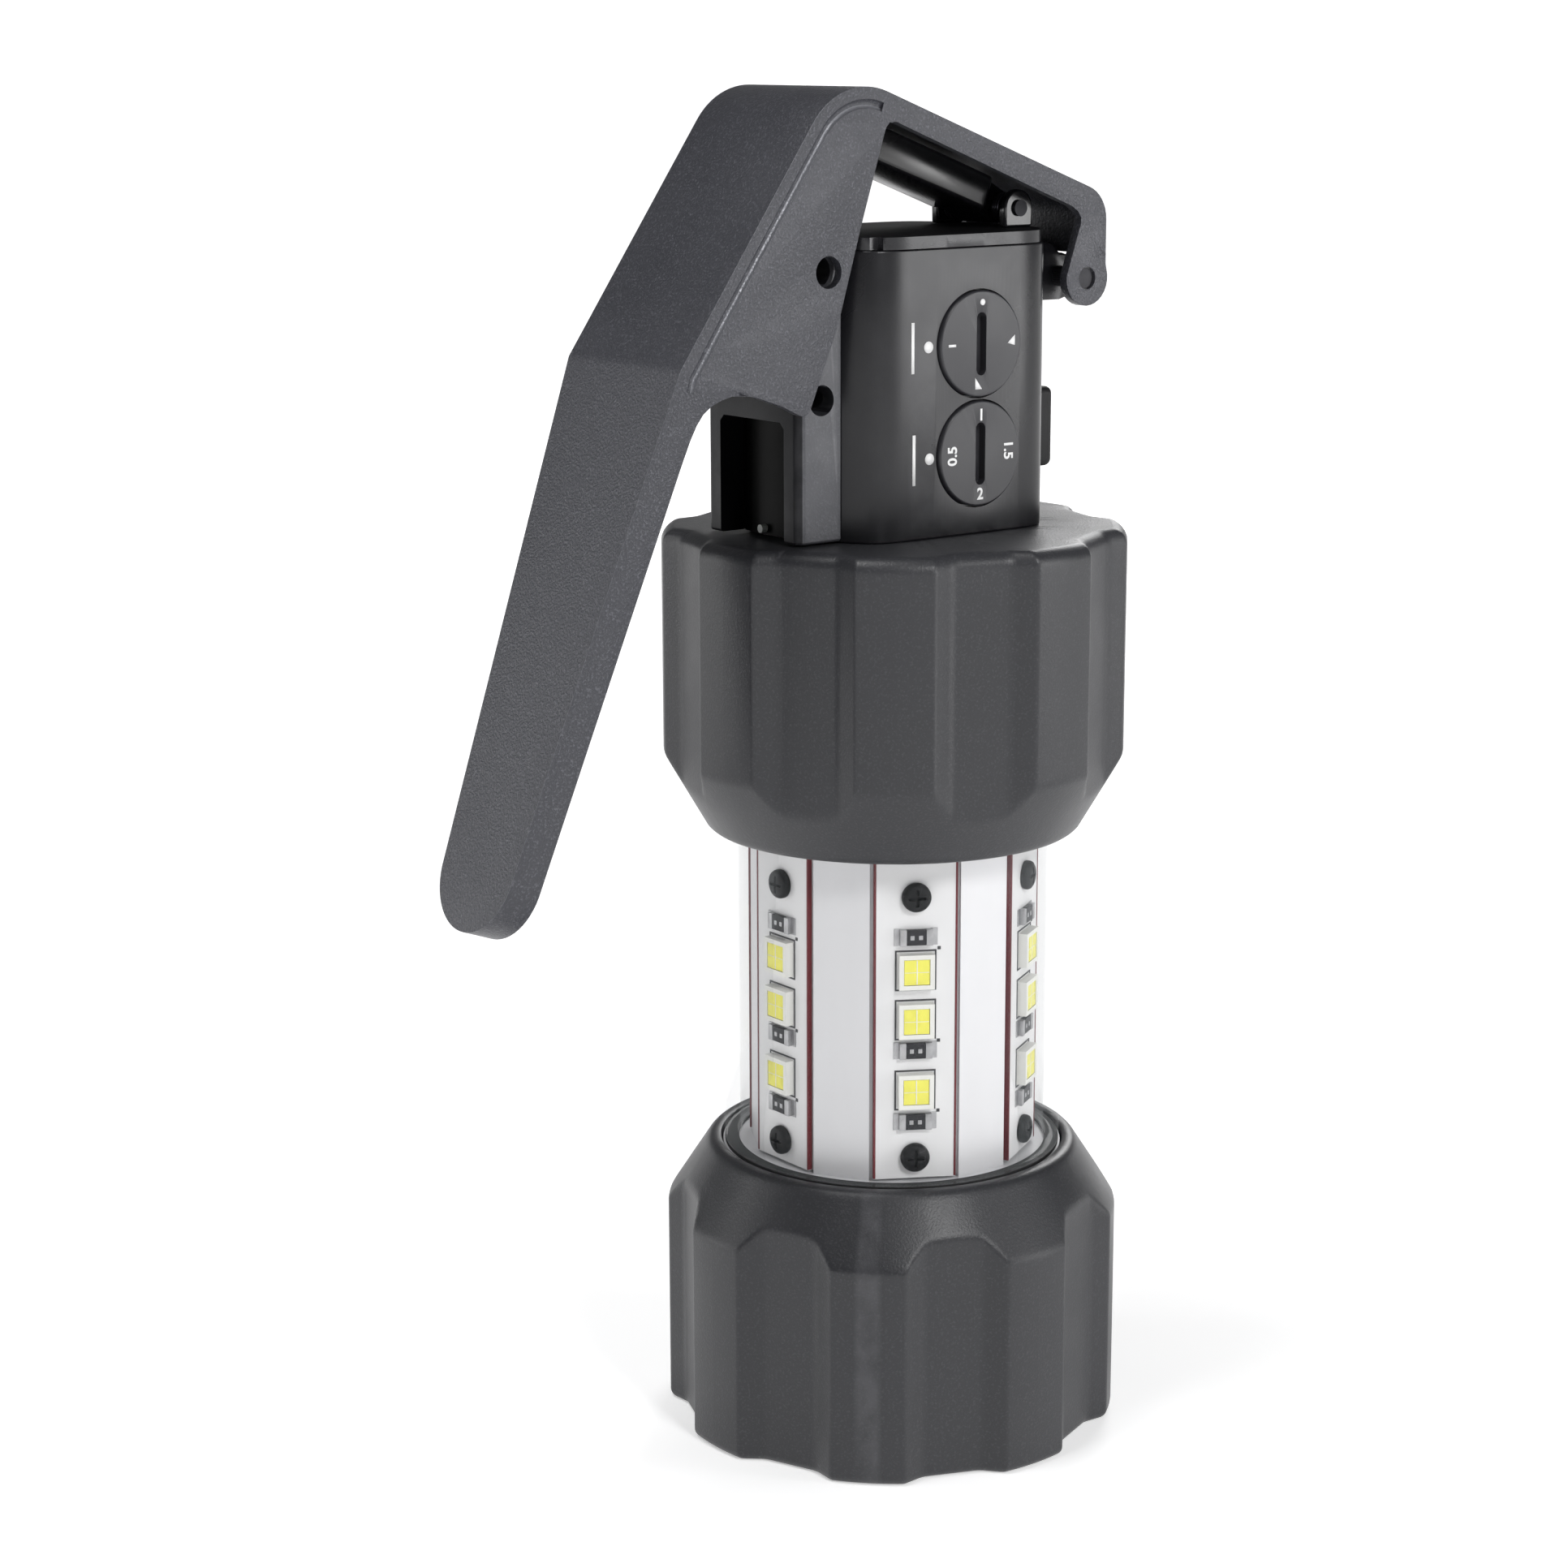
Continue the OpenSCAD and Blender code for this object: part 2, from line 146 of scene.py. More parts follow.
# ---------------------------------------------------------------- mesh helpers
def link(name, bm, mat, smooth=True, scale=1.0):
    """New object from bm, which is freed."""
    if scale != 1.0:
        bmesh.ops.scale(bm, vec=(scale,) * 3, verts=bm.verts)
    me = bpy.data.meshes.new(name)
    bm.to_mesh(me)
    bm.free()
    if smooth:
        me.shade_smooth()
    ob = bpy.data.objects.new(name, me)
    bpy.context.scene.collection.objects.link(ob)
    if mat:
        me.materials.append(mat)
    return ob


def place(ob, body, slot, *nodes):
    """Rides ob on its body and hides the CAD nodes that it stands in for; the slot argument is not used."""
    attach(ob, body)
    if nodes:
        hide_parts(*nodes)


def bake(ob):
    """Applies the modifiers of ob to its mesh."""
    dg = bpy.context.evaluated_depsgraph_get()
    me = bpy.data.meshes.new_from_object(ob.evaluated_get(dg))
    ob.modifiers.clear()
    old, ob.data = ob.data, me
    bpy.data.meshes.remove(old)
    return ob


def bevel(ob, width, segments=3, angle=40, weight=False):
    m = ob.modifiers.new("bevel", "BEVEL")
    m.width, m.segments = width * MM, segments
    if weight:
        m.limit_method = "WEIGHT"
    else:
        m.limit_method, m.angle_limit = "ANGLE", rad(angle)
    m.use_clamp_overlap = True


def weighted(ob):
    m = ob.modifiers.new("normals", "WEIGHTED_NORMAL")
    m.keep_sharp = True


def join(ob, tool):
    """Adds the solid tool to ob."""
    m = ob.modifiers.new("join", "BOOLEAN")
    m.operation, m.solver, m.object = "UNION", "EXACT", tool
    bake(ob)
    bpy.data.objects.remove(tool)


def cut(ob, *tools):
    """Takes the solid tools out of ob."""
    for t in tools:
        m = ob.modifiers.new("cut", "BOOLEAN")
        m.operation, m.solver, m.object = "DIFFERENCE", "EXACT", t
    bake(ob)
    for t in tools:
        bpy.data.objects.remove(t)


def prism(name, pts, lo, hi, axis, mat=None):
    """Closed solid from a 2-D outline: axis 'y' takes (x, z) points, 'z' takes (x, y), 'x' takes (y, z)."""
    put = {"y": lambda p, h: (p[0], h, p[1]), "z": lambda p, h: (p[0], p[1], h),
           "x": lambda p, h: (h, p[0], p[1])}[axis]
    bm = bmesh.new()
    a = [bm.verts.new(put(p, lo)) for p in pts]
    b = [bm.verts.new(put(p, hi)) for p in pts]
    bm.faces.new(a)
    bm.faces.new(list(reversed(b)))
    for i in range(len(pts)):
        j = (i + 1) % len(pts)
        bm.faces.new((a[j], a[i], b[i], b[j]))
    bmesh.ops.recalc_face_normals(bm, faces=bm.faces)
    return link(name, bm, mat, scale=MM)


def circle(cx, cy, r, n=32):
    return [(cx + r * math.cos(2 * math.pi * i / n), cy + r * math.sin(2 * math.pi * i / n))
            for i in range(n)]


def rect(a0, a1, b0, b1):
    return [(a0, b0), (a1, b0), (a1, b1), (a0, b1)]


def arc(c, r, a0, a1, n):
    return [(c[0] + r * math.cos(rad(a0 + (a1 - a0) * i / n)),
             c[1] + r * math.sin(rad(a0 + (a1 - a0) * i / n)))
            for i in range(n + 1)]


def skin(bm, pairs, n):
    """Faces between pairs of n-point rings; a ring may be a single point."""
    for a, b in pairs:
        for i in range(n):
            j = (i + 1) % n
            if len(a) == 1:
                bm.faces.new((a[0], b[i], b[j]))
            elif len(b) == 1:
                bm.faces.new((a[j], a[i], b[0]))
            else:
                bm.faces.new((a[i], b[i], b[j], a[j]))
    bmesh.ops.recalc_face_normals(bm, faces=bm.faces)


def lathe(name, path, mat, n=96, axis="z", centre=(0, 0, 0), closed=False):
    """Turned solid from (radius, height) points; ends on the axis become single points."""
    bm = bmesh.new()

    def put(r, h, t):
        c, s = r * math.cos(t), r * math.sin(t)
        p = {"z": (c, s, h), "y": (c, h, s), "x": (h, c, s)}[axis]
        return (p[0] + centre[0], p[1] + centre[1], p[2] + centre[2])

    rings = []
    for r, h in path:
        if r < 1e-6:
            rings.append([bm.verts.new(put(0, h, 0))])
        else:
            rings.append([bm.verts.new(put(r, h, 2 * math.pi * i / n)) for i in range(n)])
    pairs = list(zip(rings, rings[1:])) + ([(rings[-1], rings[0])] if closed else [])
    skin(bm, pairs, n)
    return link(name, bm, mat, scale=MM)


def tube(name, pts, r, mat, n=10):
    """Round wire along points in mm, with capped ends."""
    bm = bmesh.new()
    pts = [Vector(p) for p in pts]
    rings, ref = [], None
    for i, p in enumerate(pts):
        t = (pts[min(i + 1, len(pts) - 1)] - pts[max(i - 1, 0)]).normalized()
        if ref is None:
            ref = t.orthogonal().normalized()
        ref = (ref - t * ref.dot(t)).normalized()
        side = t.cross(ref)
        rings.append([bm.verts.new(p + ref * (r * math.cos(2 * math.pi * k / n)) +
                                   side * (r * math.sin(2 * math.pi * k / n))) for k in range(n)])
    for a, b in zip(rings, rings[1:]):
        for k in range(n):
            j = (k + 1) % n
            bm.faces.new((a[k], a[j], b[j], b[k]))
    bm.faces.new(list(reversed(rings[0])))
    bm.faces.new(rings[-1])
    bmesh.ops.recalc_face_normals(bm, faces=bm.faces)
    return link(name, bm, mat, scale=MM)


def coil(name, r_mid, r_wire, length, turns, axis, start, mat, per=28):
    """Helical spring with flat closed ends, running from start along axis ('x', 'y' or 'z')."""
    pts = []
    dead = 1.0  # turns lying flat at each end
    live = max(turns - 2 * dead, 0.5)
    pitch_end = 2.05 * r_wire
    mid = length - 2 * r_wire - 2 * pitch_end
    for i in range(int(turns * per) + 1):
        t = i / per
        a = 2 * math.pi * t
        if t < dead:
            h = pitch_end * t
        elif t > turns - dead:
            h = pitch_end + mid + pitch_end * (t - (turns - dead))
        else:
            h = pitch_end + mid * (t - dead) / live
        h += r_wire
        c, s = r_mid * math.cos(a), r_mid * math.sin(a)
        p = {"z": (c, s, h), "y": (c, h, s), "x": (h, c, s)}[axis]
        pts.append([p[k] + start[k] for k in range(3)])
    return tube(name, pts, r_wire, mat)


def smin(a, b, k):
    """Smaller of a and b, blended smoothly where they are within k of each other."""
    h = max(k - abs(a - b), 0.0) / k
    return min(a, b) - h * h * k * 0.25


def smax(a, b, k):
    return -smin(-a, -b, k)


# ---------------------------------------------------------------- materials
def material(name, color, rough, metallic=0.0, vary=0.06, blotch=60.0, grain=2500.0, bump=0.25,
             depth=0.00003, speck=0.0, speck_color=None, rough_vary=0.08, wear_and_highlight=0.0, wear_and_highlight_color=None,
             coat=0.0, coat_rough=0.2, alpha=None, spec=0.5, streak=None, wear_and_highlight_at=(0.52, 0.60)):
    """Blotched base colour, fine specks and bump from one grain, edges lightened as rubbed wear and as a
    painted highlight, and varied roughness.
    """
    mat = bpy.data.materials.new(name)
    mat.use_nodes = True
    nt = mat.node_tree
    nodes, links = nt.nodes, nt.links
    bsdf = nodes["Principled BSDF"]
    tc = nodes.new("ShaderNodeTexCoord")

    def noise(scale, detail=3.0, roughness=0.55, stretch=None):
        tex = nodes.new("ShaderNodeTexNoise")
        tex.inputs["Scale"].default_value = scale
        tex.inputs["Detail"].default_value = detail
        tex.inputs["Roughness"].default_value = roughness
        src = tc.outputs["Object"]
        if stretch:
            mp = nodes.new("ShaderNodeMapping")
            mp.inputs["Scale"].default_value = stretch
            links.new(src, mp.inputs["Vector"])
            src = mp.outputs["Vector"]
        links.new(src, tex.inputs["Vector"])
        return tex

    def ramp(src, lo, hi, a, b):
        m = nodes.new("ShaderNodeMapRange")
        m.inputs["From Min"].default_value, m.inputs["From Max"].default_value = lo, hi
        m.inputs["To Min"].default_value, m.inputs["To Max"].default_value = a, b
        links.new(src, m.inputs["Value"])
        return m.outputs["Result"]

    def mix(fac, a, b):
        m = nodes.new("ShaderNodeMix")
        m.data_type = "RGBA"
        for sock, v in ((m.inputs[0], fac), (m.inputs[6], a), (m.inputs[7], b)):
            if isinstance(v, (tuple, float)):
                sock.default_value = v
            else:
                links.new(v, sock)
        return m.outputs[2]

    def shade(f):
        return tuple(min(1.0, c * f) for c in color) + (1.0,)

    big = noise(blotch, 4.0, stretch=streak)
    col = mix(ramp(big.outputs["Fac"], 0.3, 0.7, 0.0, 1.0), shade(1 - vary), shade(1 + vary))
    fine = noise(grain, 2.0)
    if speck:
        sc = speck_color or tuple(c * 2.0 for c in color)
        col = mix(ramp(fine.outputs["Fac"], 0.54, 0.70, 0.0, speck), col, sc + (1.0,))
    # convex edges lightened by pointiness: partly rubbed wear, partly a painted highlight where edges catch
    # the light
    if wear_and_highlight:
        geo = nodes.new("ShaderNodeNewGeometry")
        edge = ramp(geo.outputs["Pointiness"], *wear_and_highlight_at, 0.0, wear_and_highlight)
        wc = wear_and_highlight_color or tuple(min(1, c * 2.5) for c in color)
        rub_and_highlight = nodes.new("ShaderNodeMath")
        rub_and_highlight.operation = "MULTIPLY"
        patch = noise(260.0, 4.0)
        links.new(edge, rub_and_highlight.inputs[0])
        links.new(ramp(patch.outputs["Fac"], 0.4, 0.65, 0.15, 1.0), rub_and_highlight.inputs[1])
        col = mix(rub_and_highlight.outputs[0], col, wc + (1.0,))
    links.new(col, bsdf.inputs["Base Color"])
    smooth, coarse = max(0.0, rough - rough_vary), min(1.0, rough + rough_vary)
    links.new(ramp(big.outputs["Fac"], 0.3, 0.7, smooth, coarse), bsdf.inputs["Roughness"])
    if bump:
        b = nodes.new("ShaderNodeBump")
        b.inputs["Strength"].default_value = bump
        b.inputs["Distance"].default_value = depth
        links.new(fine.outputs["Fac"], b.inputs["Height"])
        links.new(b.outputs["Normal"], bsdf.inputs["Normal"])
    bsdf.inputs["Metallic"].default_value = metallic
    bsdf.inputs["Specular IOR Level"].default_value = spec
    bsdf.inputs["IOR"].default_value = 1.5
    if coat:
        bsdf.inputs["Coat Weight"].default_value = coat
        bsdf.inputs["Coat Roughness"].default_value = coat_rough
    if alpha is not None:
        edge_on = nodes.new("ShaderNodeFresnel")
        edge_on.inputs["IOR"].default_value = 1.25
        links.new(ramp(edge_on.outputs["Fac"], 0.0, 1.0, *alpha), bsdf.inputs["Alpha"])
    return mat


M = {
    "bumper": material("bumper_polymer", (0.022, 0.0225, 0.026), 0.40, vary=0.10, grain=4600, bump=0.5,
                       depth=0.00005, speck=0.35, speck_color=(0.065, 0.066, 0.073), wear_and_highlight=0.3,
                       wear_and_highlight_color=(0.12, 0.12, 0.13), spec=0.5),
    "lever": material("lever_paint", (0.037, 0.038, 0.046), 0.36, metallic=0.15, vary=0.05, grain=4200,
                      bump=0.9, depth=0.00009, speck=0.6, speck_color=(0.115, 0.117, 0.135), wear_and_highlight=0.15,
                      wear_and_highlight_color=(0.15, 0.15, 0.165), spec=0.5, wear_and_highlight_at=(0.56, 0.66)),
    # a lighter copy of the lever paint: a painted highlight for the folds and grooves
    "lever_painted_highlight": material("lever_painted_highlight", (0.15, 0.153, 0.17), 0.32, metallic=0.3, vary=0.08, grain=4200,
                           bump=0.6, depth=0.00008, speck=0.4, speck_color=(0.22, 0.22, 0.24), spec=0.6),
    # the lighter edges of this satin are partly a painted highlight, above all the bright rim of the lid
    "head": material("head_satin", (0.009, 0.009, 0.011), 0.28, metallic=0.2, vary=0.10, grain=6000,
                     bump=0.2, depth=0.00002, speck=0.15, wear_and_highlight=0.3, wear_and_highlight_color=(0.07, 0.07, 0.075), spec=0.5),
    "head_top": material("head_top_matt", (0.006, 0.006, 0.007), 0.75, vary=0.15, bump=0.3, spec=0.05),
    "block": material("block_grey", (0.050, 0.051, 0.058), 0.36, metallic=0.2, vary=0.10, grain=4600,
                      bump=0.35, depth=0.00004, speck=0.4, wear_and_highlight=0.35, wear_and_highlight_color=(0.2, 0.2, 0.21), spec=0.45),
    # a darker copy of the block grey: painted shade on the block's faces turned to -X
    "block_front_painted_shade": material("block_front_painted_shade", (0.010, 0.010, 0.012), 0.45, vary=0.12, grain=5200, bump=0.2,
                            wear_and_highlight=0.3, wear_and_highlight_color=(0.08, 0.08, 0.085), spec=0.2),
    # near-black copy: painted shade for the walls inside the pocket
    "pocket": material("pocket_painted_shade", (0.0025, 0.0025, 0.003), 0.9, vary=0.15, bump=0.1, spec=0.02),
    "dial": material("dial_satin", (0.022, 0.022, 0.026), 0.34, vary=0.10, grain=5600, bump=0.2,
                     depth=0.00002, wear_and_highlight=0.3, wear_and_highlight_color=(0.09, 0.09, 0.095), spec=0.45),
    "button": material("button_black", (0.009, 0.009, 0.010), 0.5, vary=0.12, grain=4200, bump=0.3,
                       spec=0.25),
    "kicker": material("kicker_black", (0.005, 0.005, 0.006), 0.24, vary=0.15, grain=1500, bump=0.08,
                       wear_and_highlight=0.3, wear_and_highlight_color=(0.05, 0.05, 0.055), spec=0.5),
    "window": material("window_black", (0.003, 0.003, 0.003), 0.4, vary=0.2, bump=0.05, spec=0.05),
    "steel": material("pin_steel", (0.02, 0.02, 0.023), 0.45, metallic=0.3, vary=0.12, streak=(1, 1, 8),
                      bump=0.1, wear_and_highlight=0.2, wear_and_highlight_color=(0.1, 0.1, 0.11), spec=0.2),
    "spring": material("spring_steel", (0.55, 0.55, 0.57), 0.25, metallic=1.0, vary=0.06, bump=0.1),
    "blued": material("blued_wire", (0.05, 0.05, 0.06), 0.28, metallic=0.9, vary=0.15, bump=0.1),
    "brass": material("contact_brass", (0.72, 0.54, 0.24), 0.28, metallic=1.0, vary=0.07, bump=0.12,
                      wear_and_highlight=0.3, wear_and_highlight_color=(0.9, 0.75, 0.45)),
    "rubber": material("seal_rubber", (0.016, 0.016, 0.017), 0.7, vary=0.15, bump=0.3),
    "core": material("core_metal", (0.74, 0.74, 0.755), 0.45, metallic=0.25, vary=0.03, streak=(1, 1, 0.15),
                     blotch=220, bump=0.15),
    "board": material("board_white", (0.82, 0.82, 0.825), 0.38, vary=0.02, bump=0.12, grain=3000,
                      spec=0.35),
    "silk_red": material("board_edge_red", (0.14, 0.012, 0.018), 0.5, vary=0.2, grain=2400, bump=0.2),
    "silk": material("board_outline_grey", (0.05, 0.05, 0.055), 0.5, vary=0.15, bump=0.1),
    "led": material("led_body", (0.84, 0.84, 0.80), 0.35, vary=0.03, bump=0.08, spec=0.3),
    "phosphor": material("led_phosphor", (0.88, 0.84, 0.13), 0.30, vary=0.06, grain=2600, blotch=500,
                         bump=0.12, coat=0.3, coat_rough=0.15, spec=0.3),
    "resistor": material("resistor_ceramic", (0.022, 0.022, 0.026), 0.35, vary=0.15, bump=0.15, spec=0.3),
    "solder": material("solder_tin", (0.42, 0.42, 0.43), 0.38, metallic=0.8, vary=0.2, blotch=900, bump=0.3,
                       depth=0.00005),
    "screw": material("screw_black", (0.004, 0.004, 0.005), 0.5, metallic=0.1, vary=0.2, grain=4200,
                      bump=0.6, depth=0.00006, speck=0.4, speck_color=(0.06, 0.06, 0.065), spec=0.3),
    "lens": material("lens_clear", (0.22, 0.24, 0.25), 0.06, vary=0.01, rough_vary=0.02, bump=0.0,
                     alpha=(0.02, 0.17)),
    "cell": material("cell_can", (0.05, 0.16, 0.32), 0.35, vary=0.06, bump=0.1),
    "pcb": material("circuit_board", (0.03, 0.16, 0.08), 0.35, vary=0.08, bump=0.12),
    "switch": material("switch_body", (0.03, 0.07, 0.14), 0.35, vary=0.08, bump=0.1),
    "indicator": material("indicator_lens", (0.30, 0.32, 0.30), 0.4, vary=0.03, bump=0.05),
    "print": material("printed_white", (0.80, 0.80, 0.80), 0.5, vary=0.05, grain=4000, bump=0.15),
}

# each CAD node takes the material named like its slot; Blender may add a number to the name
SLOT_MAT = {mat.name.split(".")[0]: mat for mat in M.values()}
for part in frame["record"]["subparts"]:
    node = NODES[part["node"]]
    node.data.materials.clear()
    node.data.materials.append(SLOT_MAT[part["material_slot"]])


# ---------------------------------------------------------------- bumpers
R, FLOOR = 23.0, 21.3  # radius over the lobes and at the flute floors
WALL_SLOPE = 2.0649     # tangential run of a flute wall for each mm outwards
WALL_AT = 40.98         # places the wall, which starts 3 mm from the flute's middle


def lobe_radius(t, turn):
    """Radius of the fluted outside at angle t: a circle cut by straight-walled flutes, edges rounded."""
    phi = (math.degrees(t) - turn - 22.5) % 45.0
    phi = rad(phi - 45.0 if phi > 22.5 else phi)
    c, s = math.cos(phi), abs(math.sin(phi))
    floor = FLOOR / c
    wall = WALL_AT / max(WALL_SLOPE * c - s, 0.05)
    return smin(R, smax(floor, wall, 0.28), 0.2)


def lobe_angles(turn):
    """Angles round the bumper, close together where the flutes' edges turn."""
    one = [-22.4, -20.5, -18.5, -16.8, -15.4, -11.6, -10.6, -9.7, -6.0, -3.0]
    one += [c + 0.24 * k for c in (-13.2, -8.1) for k in range(-5, 6)]
    one = sorted(one + [0.0] + [-a for a in one])
    return [rad(turn + 22.5 + 45.0 * p + a) for p in range(8) for a in one]


def bumper(name, turn, path, mat):
    """path rows are (kind, value, inset, z): 'lobe' follows the flutes less inset, capped by value."""
    bm = bmesh.new()
    rings = []
    angles = lobe_angles(turn)
    edge = [lobe_radius(t, turn) for t in angles]
    for kind, value, inset, z in path:
        if kind == "point":
            rings.append([bm.verts.new((0, 0, z))])
            continue
        ring = []
        for i, t in enumerate(angles):
            r = value
            if kind == "lobe":
                r = edge[i] - inset
                if value is not None:
                    r = smin(r, value, 0.25)
            ring.append(bm.verts.new((r * math.cos(t), r * math.sin(t), z)))
        rings.append(ring)
    pairs = list(zip(rings, rings[1:]))
    if len(rings[0]) > 1:
        pairs.append((rings[-1], rings[0]))
    skin(bm, pairs, len(angles))
    ob = link(name, bm, mat, scale=MM)
    weighted(ob)
    return ob


def cone_rows(z0, z1, r0, r1, n, extra):
    """Cone from (r0, z0) to (r1, z1) carried on past the corner, so the lobes round into it."""
    rows = []
    for i in range(n + 1):
        t = i / n * (1 + extra)
        rows.append(("lobe", r0 + (r1 - r0) * t, 0.0, z0 + (z1 - z0) * t))
    return rows


def rounding(r, z_edge, up, n=6):
    """Quarter-round rows that end at z_edge, for the top rim (up = 1) or the bottom rim (up = -1)."""
    rows = []
    for i in range(n + 1):
        a = rad(90 * i / n)
        rows.append(("lobe", None, r * (1 - math.cos(a)), z_edge + up * (r * math.sin(a) - r)))
    return rows


def make_bumpers():
    ring = [("ring", 16.35, 0, 61.85), ("ring", 16.45, 0, 61.8), ("ring", 18.15, 0, 61.8),
            ("ring", 18.4, 0, 61.86), ("ring", 18.62, 0, 62.02)]
    ring += cone_rows(62.25, 69.4, 18.85, 23.0, 22, 0.16)
    ring += [("lobe", None, 0, z) for z in (71.2, 73, 77, 81, 85, 88, 89.6)]
    ring += rounding(1.5, 92.0, 1)
    ring += [("ring", 19.2, 0, 92.0), ("ring", 17.0, 0, 92.0), ("ring", 9.2, 0, 92.0),
             ("ring", 9.0, 0, 91.8), ("ring", 9.0, 0, 88.3), ("ring", 17.05, 0, 88.3),
             ("ring", 17.05, 0, 64.75), ("ring", 16.35, 0, 64.75)]
    ob = bumper("upper_bumper", 6.0, ring, M["bumper"])
    place(ob, "body_main", "bumper_polymer", "bumper_ring")

    cap = [("point", 0, 0, 0.35), ("ring", 10.0, 0, 0.35), ("ring", 18.6, 0, 0.35), ("ring", 18.9, 0, 0.0),
           ("lobe", None, 1.5, 0.0)]
    cap += list(reversed(rounding(0.9, 0.0, -1)))[1:]
    cap += [("lobe", None, 0, z) for z in (1.6, 4, 8, 12, 16, 19, 20.4)]
    cap += list(reversed(cone_rows(28.45, 22.2, 18.95, 23.0, 20, 0.16)))
    cap += [("ring", 18.75, 0, 28.66), ("ring", 18.5, 0, 28.84), ("ring", 18.2, 0, 28.9),
            ("ring", 17.6, 0, 28.9), ("ring", 17.45, 0, 28.8), ("ring", 17.45, 0, 24.6),
            ("ring", 15.5, 0, 24.6), ("ring", 15.5, 0, 3.0), ("point", 0, 0, 3.0)]
    ob = bumper("tail_bumper", 0.0, cap, M["bumper"])
    place(ob, "cap", "bumper_polymer", "tail_cap")


# ---------------------------------------------------------------- lens, core, boards
def make_tube():
    inside, outside, foot, foot_z, flare = 15.55, 16.2, 17.2, 30.2, 8.6
    path = [(inside, 28.95), (17.0, 28.9), (foot, 29.05), (foot, foot_z)]
    for i in range(1, 15):  # smooth flare at the foot
        t = i / 14
        path.append((foot - 1.0 * (t * t * (3 - 2 * t)), foot_z + flare * t))
    path += [(outside, 50.0), (outside, 64.45), (16.1, 64.6), (15.6, 64.6), (inside, 64.5), (inside, 50.0),
             (inside, 38.8)]
    ob = lathe("clear_tube", path, M["lens"], n=144, closed=True)
    place(ob, "body_main", "lens_clear", "lens_tube")


def board_boxes():
    """Boxes on the board that faces +X, by piece, as (x0, x1, y0, y1, z0, z1)."""
    face = BOARD_FACE
    boxes = {"board_edges": [], "board_outlines": [], "resistor_bodies": [], "resistor_ends": [],
             "phosphor_lines": []}

    def add(kind, *box):
        boxes[kind].append(box)

    for s in (-1, 1):  # coloured edge of each board
        a, b = sorted((s * 4.1 - s * 0.19, s * 4.1 + s * 0.03))
        add("board_edges", face - 0.5, face + 0.04, a, b, 28.85, 60.95)
    for z, up in ((50.1, 1), (45.1, -1), (37.9, -1)):
        h, w = 2.05, 0.16  # half size and line width of the printed outline round an LED
        x0, x1 = face - 0.02, face + 0.06
        add("board_outlines", x0, x1, -h, h, z + h - w, z + h)
        add("board_outlines", x0, x1, -h, h, z - h, z - h + w)
        add("board_outlines", x0, x1, -h, -h + w, z - h + w, z + h - w)
        add("board_outlines", x0, x1, h - w, h, z - h + w, z + h - w)
        add("board_outlines", x0, x1, h + 0.1, h + 0.42, z + up * 2.2 - 0.16, z + up * 2.2 + 0.16)
        add("phosphor_lines", 14.93, 14.965, -0.05, 0.05, z - 1.2, z + 1.2)
        add("phosphor_lines", 14.93, 14.96, -1.2, 1.2, z - 0.03, z + 0.03)
    for z in (53.5, 42.0, 34.7):
        add("resistor_bodies", face + 0.01, face + 0.56, -1.0, 1.0, z - 0.78, z + 0.78)
        for s in (-1, 1):
            a, b = sorted((s * 0.98, s * 1.62))
            add("resistor_ends", face + 0.005, face + 0.58, a, b, z - 0.8, z + 0.8)
            a, b = sorted((s * 1.5, s * 2.15))
            add("resistor_ends", face - 0.02, face + 0.1, a, b, z - 0.85, z + 0.85)
        for s in (-0.42, 0.42):
            add("resistor_ends", face + 0.54, face + 0.575, s - 0.2, s + 0.2, z - 0.22, z + 0.22)
    return boxes


def make_boards():
    # material, slot and bevel width of each piece
    look = {"board_edges": ("silk_red", "board_white", 0.03),
            "board_outlines": ("silk", "board_white", 0.015),
            "resistor_bodies": ("resistor", "resistor_ceramic", 0.07),
            "resistor_ends": ("solder", "resistor_ceramic", 0.05),
            "phosphor_lines": ("led", "led_body", 0.01)}
    corners = ((3, 2, 1, 0), (4, 5, 6, 7), (0, 1, 5, 4), (1, 2, 6, 5), (2, 3, 7, 6), (3, 0, 4, 7))
    for name, rows in board_boxes().items():
        bm = bmesh.new()
        for k in range(6):
            turn = Matrix.Rotation(rad(60 * k), 4, "Z")
            for x0, x1, y0, y1, z0, z1 in rows:
                v = [bm.verts.new(turn @ Vector((x, y, z))) for z in (z0, z1)
                     for x, y in ((x0, y0), (x1, y0), (x1, y1), (x0, y1))]
                for f in corners:
                    bm.faces.new([v[i] for i in f])
        mat, slot, w = look[name]
        ob = link(name, bm, M[mat], scale=MM)
        bevel(ob, w, 2)
        weighted(ob)
        place(ob, "body_main", slot, *(("resistors",) if name == "resistor_bodies" else ()))


